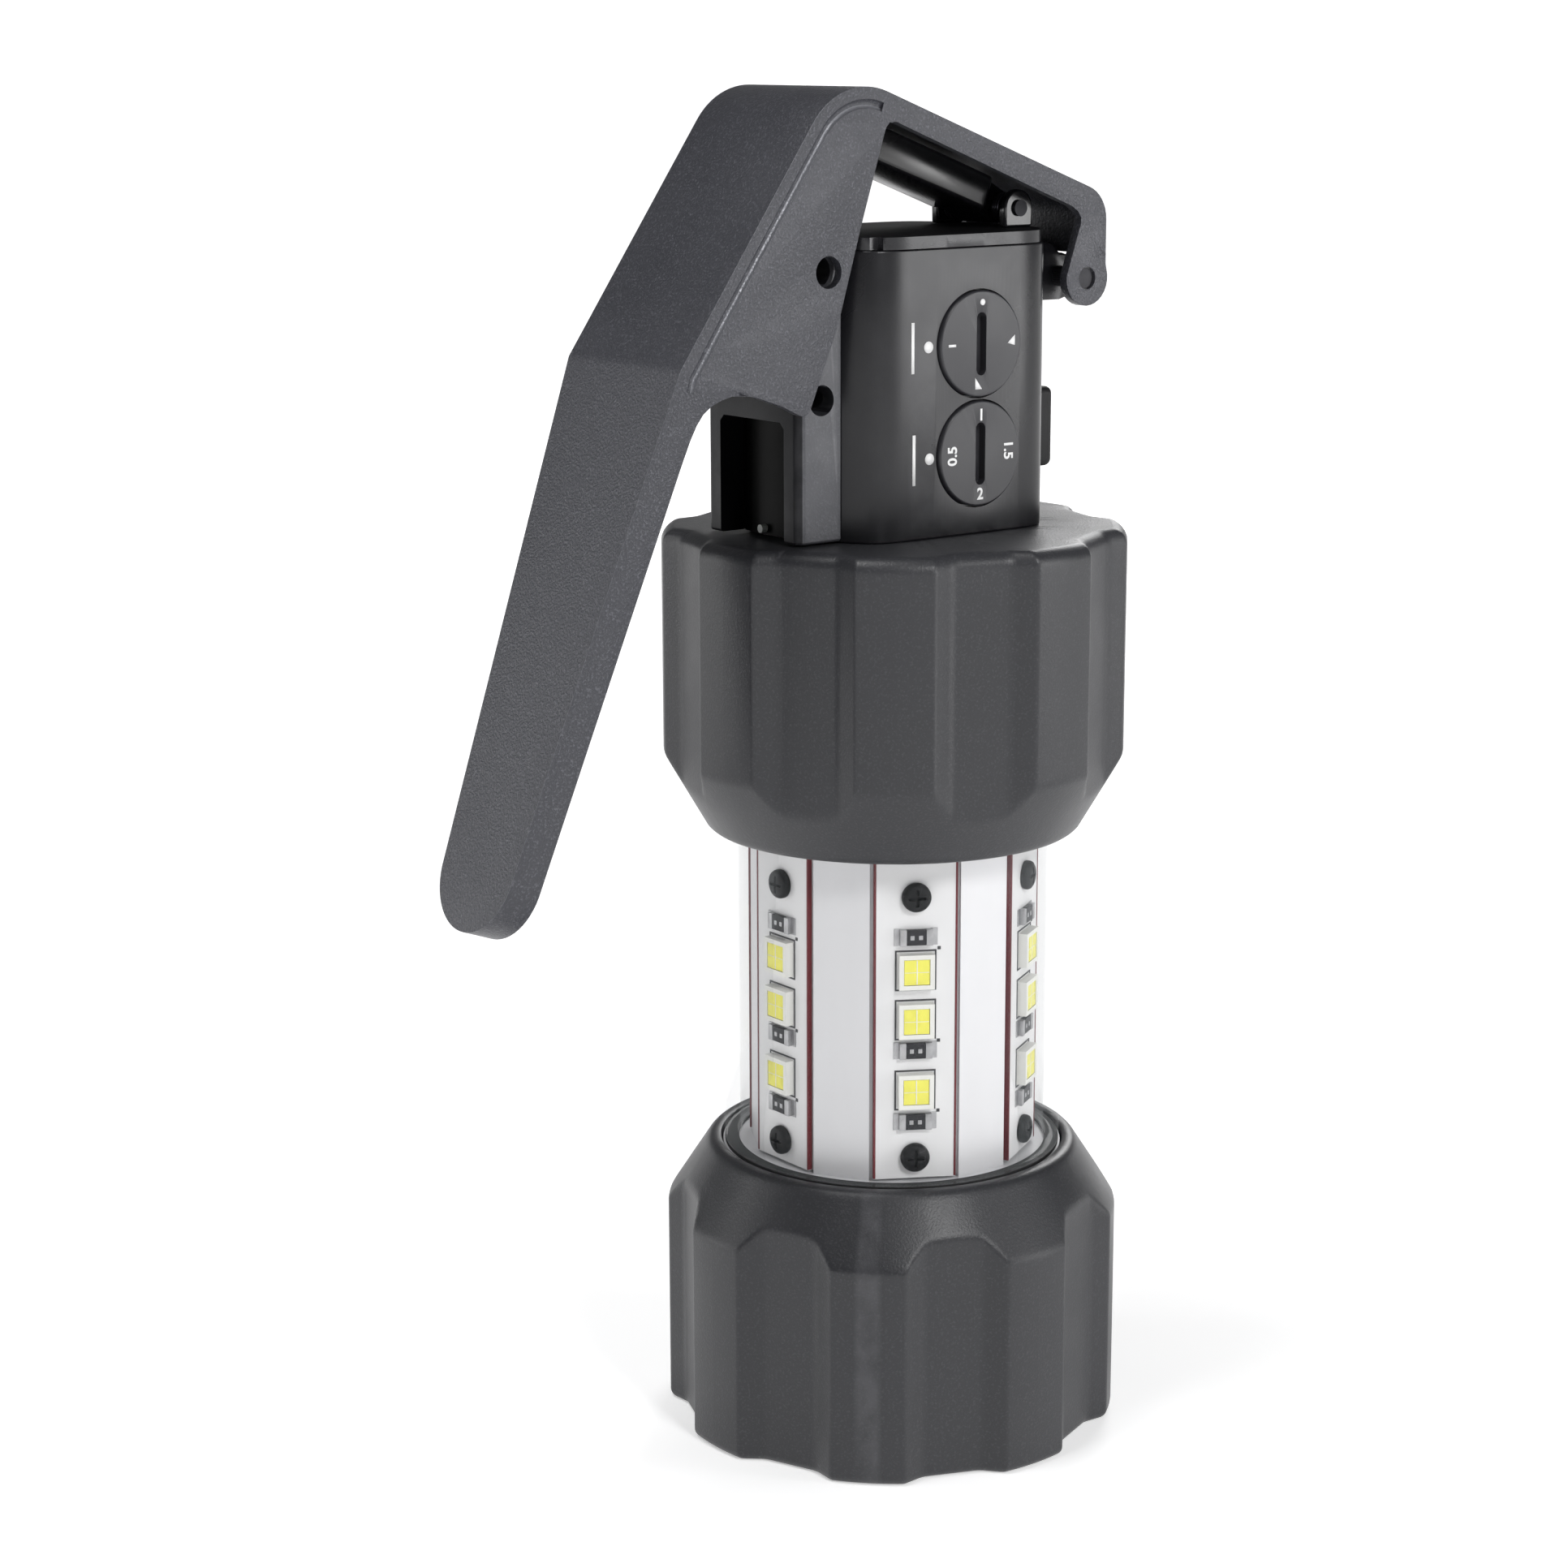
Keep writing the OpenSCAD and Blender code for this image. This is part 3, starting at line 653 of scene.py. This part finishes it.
def make_screws():
    """One button head with a cross recess, set twice on each of the six boards."""
    path = [(0, 11.0), (0.7, 11.0), (0.75, 11.1), (0.75, 14.06), (1.35, 14.06), (1.45, 14.14), (1.45, 14.5),
            (1.36, 14.72), (1.1, 14.9), (0.7, 14.98), (0, 15.0)]
    head = lathe("screw_seed", path, None, n=40, axis="x")
    cut(head, prism("tool", rect(-0.85, 0.85, -0.16, 0.16), 14.45, 16, "x"),
        prism("tool", rect(-0.16, 0.16, -0.85, 0.85), 14.45, 16, "x"))
    bm = bmesh.new()
    for k in range(6):
        for z in (57.5, 31.0):
            before = len(bm.verts)
            bm.from_mesh(head.data)
            bm.verts.ensure_lookup_table()
            m = Matrix.Rotation(rad(60 * k), 4, "Z") @ Matrix.Translation((0, 0, z * MM))
            bmesh.ops.transform(bm, matrix=m, verts=bm.verts[before:])
    bpy.data.objects.remove(head)
    ob = link("board_screw_heads", bm, M["screw"])
    bevel(ob, 0.04, 2, 50)
    weighted(ob)
    place(ob, "body_main", "screw_black", "board_screws")


def make_tail_coil():
    ob = coil("tail_coil", 4.6, 0.38, 5.4, 4.5, "z", (0, 0, 4.32), M["spring"])
    place(ob, "cap_carrier", "spring_steel", "tail_spring")


# ---------------------------------------------------------------- head
def head_outline(r, y, n=160, k=1.7):
    """Circle with two flats at plus and minus y run softly into it, as (x, y) points."""
    pts = []
    for i in range(n):
        t = 2 * math.pi * i / n
        q = smin(r, y / max(abs(math.sin(t)), 0.05), k)
        pts.append((q * math.cos(t), q * math.sin(t)))
    return pts


def pin_bores():
    return [prism("tool", circle(x, z, r, 40), -10, 10, "y") for x, z, r in PIN_BORES]


def make_head():
    body = prism("head_body", head_outline(14.35, 10.5), 92.02, 119.5, "z", M["head"])
    bevel(body, 0.2, 3, 60)
    bake(body)
    lug = [(11, 113.4), (17, 113.4)] + arc(HINGE, 2.3, -90, 90, 16) + [(16, 118.9), (11, 119.3)]
    lug = prism("lug", lug, -5, 5, "y")
    bevel(lug, 0.4, 3, 50)
    join(body, bake(lug))
    # hollow inside, bores, button window with its wider inner step
    tools = [prism("tool", head_outline(11.9, 8.1, 96), 90, 122, "z"), *pin_bores(),
             prism("tool", circle(*HINGE, 1.03, 32), -6, 6, "y"),
             prism("tool", rect(-4.8, 4.8, 96.6, 105.0), 9, 18, "x"),
             prism("tool", rect(-5.7, 5.7, 95.8, 105.8), 9, 12.2, "x")]
    # dial recess, shaft bore and seal groove
    for z in (MODE_Z, DELAY_Z):
        tools += [prism("tool", circle(DIAL_X, z, 5.22, 96), -12, -9.3, "y"),
                  prism("tool", circle(DIAL_X, z, 2.1, 40), -12, -6, "y"),
                  lathe("tool", rect(2.6, 3.2, -9.35, -8.86), None, n=48, axis="y", centre=(DIAL_X, 0, z),
                        closed=True)]
    cut(body, *tools)
    body.data.set_sharp_from_angle(angle=rad(35))
    place(body, "body_main", "head_satin", "head_housing")


def make_lid():
    lid = prism("lid_plate", head_outline(14.1, 10.58), 119.54, 120.7, "z", M["head"])
    cut(lid, prism("notch", rect(-10.65, -9.65, -11.5, -9.2), 118.9, 122, "z"))
    bevel(lid, 0.22, 3, 50)
    weighted(lid)
    bake(lid)
    lid.data.materials.append(M["head_top"])
    for p in lid.data.polygons:
        if p.normal.z > 0.98:
            p.material_index = 1
    place(lid, "body_main", "head_satin", "head_lid")


def make_latch_block():
    front, half, chamfer = -17.55, 7.28, 0.6
    out = [(-11, -half), (front + chamfer, -half), (front, chamfer - half), (front, half - chamfer),
           (front + chamfer, half), (-11, half)]
    block = prism("latch_body", out, 92.2, 120.66, "z", M["block"])
    bevel(block, 0.3, 3, 30)
    bake(block)
    pocket = [(-5, 90), (5, 90), (5, 103.0), (4.4, 103.6), (-4.4, 103.6), (-5, 103.0)]
    cut(block, prism("tool", circle(0, 0, 14.5, 128), 90, 124, "z"), prism("tool", pocket, -20, -13, "x"),
        *pin_bores())
    bevel(block, 0.07, 2, 50)
    weighted(block)
    bake(block)
    block.data.materials.append(M["block_front_painted_shade"])
    block.data.materials.append(M["pocket"])
    for p in block.data.polygons:
        c = p.center / MM
        # the walls inside the pocket take the near-black copy as painted shade in the recess
        if c.x > -17.4 and abs(c.y) < 5.1 and c.z < 103.7:
            p.material_index = 2
        # faces turned to -X take the darker copy as painted shade
        elif p.normal.x < -0.6:
            p.material_index = 1
    place(block, "body_main", "block_grey", "latch_block")


def on_arm(x, z):
    """Point given along and across the sloping kicker arm, from its pivot."""
    c, s = math.cos(KICK_SLOPE), math.sin(KICK_SLOPE)
    return (KICK[0] + x * c + z * s, KICK[1] - x * s + z * c)


def make_kicker():
    bar = [(-2.62, 2.2), (-16.6, 2.2), (-17.5, 1.95), (-18.15, 1.4), (-18.48, 0.5), (-18.4, -0.3),
           (-17.9, -0.95), (-17.1, -1.3), (-2.62, -1.3)]
    arm = prism("kicker_bar", [on_arm(*p) for p in bar], -4, 4, "y", M["kicker"])
    bevel(arm, 0.55, 4, 40)
    bake(arm)
    neck = [(1.6 * math.cos(rad(t)), 1.6 * math.sin(rad(t))) for t in range(-90, 91, 12)]
    neck += [(-3, 2.1), (-3, -1.2)]
    join(arm, prism("neck", [on_arm(*p) for p in neck], -2.6, 2.6, "y"))
    cut(arm, prism("tool", circle(*KICK, 0.86, 32), -9, 9, "y"))
    arm.data.set_sharp_from_angle(angle=rad(40))
    place(arm, "kicker", "kicker_black", "kick_arm")

    ear = [(9.25, 120.72), (12.75, 120.72), (12.8, 122.3)] + arc(KICK, 1.8, 0, 180, 12) + [(9.2, 122.3)]
    for i, s in enumerate((-1, 1)):
        first = i == 0  # the first of each pair stands in for the CAD node
        ob = coil(f"kick_coil_{i + 1}", 1.3, 0.22, 1.5, 3.0, "y", (KICK[0], s * 3.6 - 0.75, KICK[1]),
                  M["blued"])
        place(ob, "body_main", "spring_steel", *(("kick_springs",) if first else ()))
        ob = prism(f"kick_ear_{i + 1}", ear, s * 5.1 - 0.5, s * 5.1 + 0.5, "y", M["kicker"])
        bevel(ob, 0.25, 3, 50)
        weighted(ob)
        place(ob, "body_main", "head_satin", *(("kick_bracket",) if first else ()))
        path = [(0, 8.15 * s), (0.8, 8.15 * s), (1.0, 8.0 * s), (1.0, 5.0 * s), (0, 5.0 * s)]
        ob = lathe(f"hinge_pin_head_{i + 1}", path, M["steel"], n=32, axis="y",
                   centre=(HINGE[0], 0, HINGE[1]))
        place(ob, "body_main", "pin_steel")


def make_button():
    ob = prism("button_cap", rect(-4.6, 4.6, 96.8, 104.8), 11.9, 16.9, "x", M["button"])
    bevel(ob, 0.75, 5, 40)
    weighted(ob)
    place(ob, "button", "button_black")
    ob = prism("button_plate", rect(-5.4, 5.4, 96.1, 105.5), 11.1, 12.0, "x", M["button"])
    bevel(ob, 0.2, 2)
    weighted(ob)
    place(ob, "button", "button_black")
    path = [(0, 9.0), (1.05, 9.0), (1.2, 9.15), (1.2, 11.2), (0, 11.2)]
    ob = lathe("button_post", path, M["button"], n=32, axis="x", centre=(0, 0, BUTTON_Z))
    place(ob, "button", "button_black", "side_button")
    ob = coil("button_coil", 2.0, 0.25, 3.5, 4.2, "x", (7.5, 0, BUTTON_Z), M["spring"])
    place(ob, "body_main", "spring_steel", "button_spring")
    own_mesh(ob)


# ---------------------------------------------------------------- dials and print
DIAL_FACE, HEAD_FACE, PRINT_T = -10.9, -10.5, 0.03  # faces that carry print, and half its thickness


def glyph(name, body, x, z, height, turn):
    """A number from the built-in font as a thin raised print on the dial face."""
    cu = bpy.data.curves.new(name, "FONT")
    cu.body, cu.size, cu.extrude = body, height * 1.35 * MM, PRINT_T * MM
    cu.align_x, cu.align_y = "CENTER", "CENTER"
    cu.resolution_u = 4
    cu.offset = 0.04 * MM
    tmp = bpy.data.objects.new(name + "_t", cu)
    bpy.context.scene.collection.objects.link(tmp)
    dg = bpy.context.evaluated_depsgraph_get()
    me = bpy.data.meshes.new_from_object(tmp.evaluated_get(dg))
    bpy.data.objects.remove(tmp)
    xs = [v.co.x for v in me.vertices]
    ys = [v.co.y for v in me.vertices]
    shift = Matrix.Translation((-(min(xs) + max(xs)) / 2, -(min(ys) + max(ys)) / 2, 0))
    stand = Matrix.Rotation(rad(90), 4, "X")
    spin = Matrix.Rotation(rad(turn), 4, "Y")
    me.transform(Matrix.Translation((x * MM, DIAL_FACE * MM, z * MM)) @ spin @ stand @ shift)
    ob = bpy.data.objects.new(name, me)
    bpy.context.scene.collection.objects.link(ob)
    me.materials.clear()
    me.materials.append(M["print"])
    return ob


def mark(name, pts, y):
    return prism(name, pts, y - PRINT_T, y + PRINT_T, "y", M["print"])


def make_dials():
    path = [(0, DIAL_FACE), (4.85, DIAL_FACE), (4.98, -10.86), (5.05, -10.76), (5.05, -9.5), (4.95, -9.45),
            (2.0, -9.45), (2.0, -6.0), (0, -6.0)]
    for name, z in (("mode", MODE_Z), ("delay", DELAY_Z)):
        ob = lathe(name + "_dial_disc", path, M["dial"], n=96, axis="y", centre=(DIAL_X, 0, z))
        slot = arc((0, 2.4), 0.6, 0, 180, 10) + arc((0, -2.4), 0.6, 180, 360, 10)
        cut(ob, prism("tool", [(DIAL_X + a, z + b) for a, b in slot], -12, -10.0, "y"))
        bevel(ob, 0.06, 2, 50)
        weighted(ob)
        place(ob, name + "_knob", "dial_satin", name + "_dial")


def make_marks():
    x, z = DIAL_X, MODE_Z
    outlines = {"mode_dot": circle(x + 0.1, z + 3.95, 0.3, 20),
                "mode_dash": rect(x - 4.1, x - 3.2, z - 0.12, z + 0.12),
                "mode_wedge_right": [(x + 3.3, z - 0.1), (x + 4.2, z - 0.35), (x + 4.2, z + 0.65)],
                "mode_wedge_low": [(x - 0.75, z - 3.2), (x + 0.1, z - 4.3), (x - 0.75, z - 4.3)]}
    for name, pts in outlines.items():
        place(mark(name, pts, DIAL_FACE), "mode_knob", "dial_satin")
    z = DELAY_Z
    for name, body, a, b, turn in (("delay_1", "1", 0.05, 3.75, 0), ("delay_2", "2", 0, -3.85, 0),
                                   ("delay_05", "0.5", -3.55, 0, -90), ("delay_15", "1.5", 3.55, 0, 90)):
        place(glyph(name, body, x + a, z + b, 1.15, turn), "delay_knob", "dial_satin")
    # index dot beside each dial, and a plain bar beyond it
    for i, (x, z) in enumerate(((-4.5, 110.3), (-4.3, 99.7))):
        place(mark(f"index_dot_{i + 1}", circle(x, z, 0.55, 28), HEAD_FACE), "body_main", "head_satin")
        bar = rect(x - 2.1, x - 1.75, z - 2.4, z + 2.4)
        place(mark(f"index_bar_{i + 1}", bar, HEAD_FACE), "body_main", "head_satin")


# ---------------------------------------------------------------- lever
HALF, SHEET, TIP_R, LEG_L, FLANGE = 9.0, 1.0, 5.8, 48.5, 3.4
LEAN, LEG = 20.65, (-32.22, 109.74)                  # lean of the handle part, and the fold where it starts
APEX, APEX_R, APEX_A = (-10.97, 126.95), 7.5, (69.7, 145)  # round top: centre, radius and directions


def leg_pt(s, d):
    """Point s along the handle part from the fold and d inwards from its outer face, as (x, z)."""
    c, n = math.cos(rad(LEAN)), math.sin(rad(LEAN))
    return (LEG[0] - s * n + d * c, LEG[1] - s * c - d * n)


def up_from_fold():
    """Direction from the fold to the round top, as (x, z)."""
    x, z = arc(APEX, APEX_R, *APEX_A, 16)[-1]
    return Vector((x - LEG[0], z - LEG[1])).normalized()


def lever_web(bm):
    """Outer skin over the top and down the handle, and the handle's flanges. Returns the two side lines,
    the two rims, the vertex at the tip and the number of side points above the fold."""
    up = up_from_fold()
    path = [(19.45, 118.05)] + arc((16, 121.3), 3.45, 0, APEX_A[0], 8) + arc(APEX, APEX_R, *APEX_A, 16)
    path += [(LEG[0] + up.x * 0.5, LEG[1] + up.y * 0.5)]
    n_up = len(path)
    side, rim = {-1: [], 1: []}, {-1: [], 1: []}
    for x, z in path:
        for s in (-1, 1):
            side[s].append(bm.verts.new((x, s * HALF, z)))
    # how far along, half width, flange depth: deeper towards the arch, then round the tip
    depth = {0.0: 8.1, 0.5: 6.35, 1.2: 5.35, 2.0: 4.5, 3.0: 3.9, 4.1: 3.6, 5.6: 3.45}
    stations = [0.0, 0.5, 1.2, 2.0, 3.0, 4.1, 5.6, 8, 14, 22, 30, 38, 44, LEG_L]
    rows = [(st, HALF + (TIP_R - HALF) * st / LEG_L, depth.get(st, FLANGE)) for st in stations]
    tip_n = 14
    for i in range(1, tip_n):
        a = rad(90 * i / tip_n)
        rows.append((LEG_L + TIP_R * math.sin(a), TIP_R * math.cos(a), FLANGE))
    for st, w, d in rows:
        x, z = leg_pt(st, 0)
        fx, fz = leg_pt(st, d)
        for s in (-1, 1):
            side[s].append(bm.verts.new((x, s * w, z)))
            rim[s].append(bm.verts.new((fx, s * w, fz)))
    x, z = leg_pt(LEG_L + TIP_R, 0)
    fx, fz = leg_pt(LEG_L + TIP_R, FLANGE)
    end, end_rim = bm.verts.new((x, 0, z)), bm.verts.new((fx, 0, fz))
    k = n_up + len(stations) - 1
    for i in range(k):
        bm.faces.new((side[-1][i], side[-1][i + 1], side[1][i + 1], side[1][i]))
    bm.faces.new(side[-1][k:] + [end] + list(reversed(side[1][k:])))
    for s in (-1, 1):
        for i in range(n_up, len(side[s]) - 1):
            k = i - n_up
            q = (side[s][i], side[s][i + 1], rim[s][k + 1], rim[s][k])
            bm.faces.new(q if s > 0 else tuple(reversed(q)))
        q = (side[s][-1], end, end_rim, rim[s][-1])
        bm.faces.new(q if s > 0 else tuple(reversed(q)))
    return side, rim, end, n_up


def lever_cheeks(bm, side, rim, n_up):
    """The two cheeks, as filled outlines with a pin bore and a hinge bore."""
    edge = [(-25.7, 107.08), (-23.6, 106.7), (-20.7, 105.7), (-18.9, 104.82), (-18.35, 104.62),
            (-17.85, 104.72), (-17.45, 105.2), (-14.2, 112.8), (-11.6, 121.4), (-8.75, 130.1),
            (-8.5, 130.75), (-8.1, 131.15), (-7.3, 131.2), (14.9, 122.75), (15.7, 122.2), (16.1, 121.6),
            (16.05, 120.9), (15.5, 119.4), (14.5, 116.5)]
    hull = edge + arc(HINGE, 2.7, 175, 365, 16) + [(19.45, 117.0)]
    holes = [circle(*PIN_BORES[0], 32), circle(*HINGE, 1.1, 28)]
    for s in (-1, 1):
        top = [(v.co.x, v.co.z, v) for v in side[s][:n_up + 1] + rim[s][:1]]
        loop = top + [(x, z, bm.verts.new((x, s * HALF, z))) for x, z in hull]
        rings = [loop] + [[(x, z, bm.verts.new((x, s * HALF, z))) for x, z in h] for h in holes]
        flat = [p for r in rings for p in r]
        for tri in tessellate_polygon([[Vector((x, z, 0)) for x, z, _ in r] for r in rings]):
            bm.faces.new([flat[i][2] for i in tri])


def make_lever():
    """Folded sheet: the outer skin, then thickness inwards, softened rims and a groove in each cheek."""
    bm = bmesh.new()
    side, rim, end, n_up = lever_web(bm)
    lever_cheeks(bm, side, rim, n_up)
    bmesh.ops.remove_doubles(bm, verts=bm.verts, dist=0.0005)
    bmesh.ops.recalc_face_normals(bm, faces=bm.faces)
    # all normals must face outwards: the top web faces +Z
    bm.faces.ensure_lookup_table()
    topf = max(bm.faces, key=lambda q: q.calc_center_median().z)
    if topf.normal.z < 0:
        bmesh.ops.reverse_faces(bm, faces=bm.faces)
    weight = bm.edges.layers.float.new("bevel_weight_edge")
    folds = set(side[-1] + side[1] + [end])
    for e in bm.edges:
        if all(v in folds for v in e.verts) and len(e.link_faces) == 2:
            if e.link_faces[0].normal.angle(e.link_faces[1].normal) > rad(50):
                e[weight] = 1.0
    ob = link("lever_spoon", bm, M["lever"], scale=MM)
    bevel(ob, 1.25, 5, weight=True)  # the overlap clamp keeps this to a hair's width along the folds
    bake(ob)
    m = ob.modifiers.new("sheet", "SOLIDIFY")
    m.thickness, m.offset, m.use_even_offset, m.use_rim = SHEET * MM, -1, True, True
    bake(ob)
    bevel(ob, 0.24, 3, 60)
    bake(ob)
    # fine groove along each cheek below the fold, from the top round to the arch
    up, inset = up_from_fold(), 1.55
    nx, nz = math.cos(rad(APEX_A[1])), math.sin(rad(APEX_A[1]))
    line = arc(APEX, APEX_R - inset, 70, APEX_A[1], 18)
    line += [(LEG[0] - inset * nx + 6.5 * up.x, LEG[1] - inset * nz + 6.5 * up.y), leg_pt(0.4, 1.6),
             leg_pt(1.6, 1.75)]
    cut(ob, *[tube("tool", [(x, s * 9.12, z) for x, z in line], 0.46, None, n=12) for s in (-1, 1)])
    ob.data.set_sharp_from_angle(angle=rad(38))
    # painted highlight: a lighter copy of the paint on the slanting faces of the outer folds and of the
    # grooves, where they catch the light
    ob.data.materials.append(M["lever_painted_highlight"])
    out = [(math.cos(rad(t)), math.sin(rad(t))) for t in (APEX_A[0], 107, APEX_A[1], 180 - LEAN)]
    for p in ob.data.polygons:
        n, c = p.normal, p.center / MM
        ways = out[3:] if c.z < 108 else (out[:1] if c.x > -7 else out[:3])
        if 0.42 < abs(n.y) < 0.9 and max(n.x * x + n.z * z for x, z in ways) > 0.35 and abs(c.y) > 4:
            p.material_index = 1
    place(ob, "spoon", "lever_paint", "lever")


make_camera()
make_lights()
make_floor()
make_bumpers()
make_tube()
make_boards()
make_screws()
make_tail_coil()
make_head()
make_lid()
make_latch_block()
make_kicker()
make_button()
make_dials()
make_marks()
make_lever()
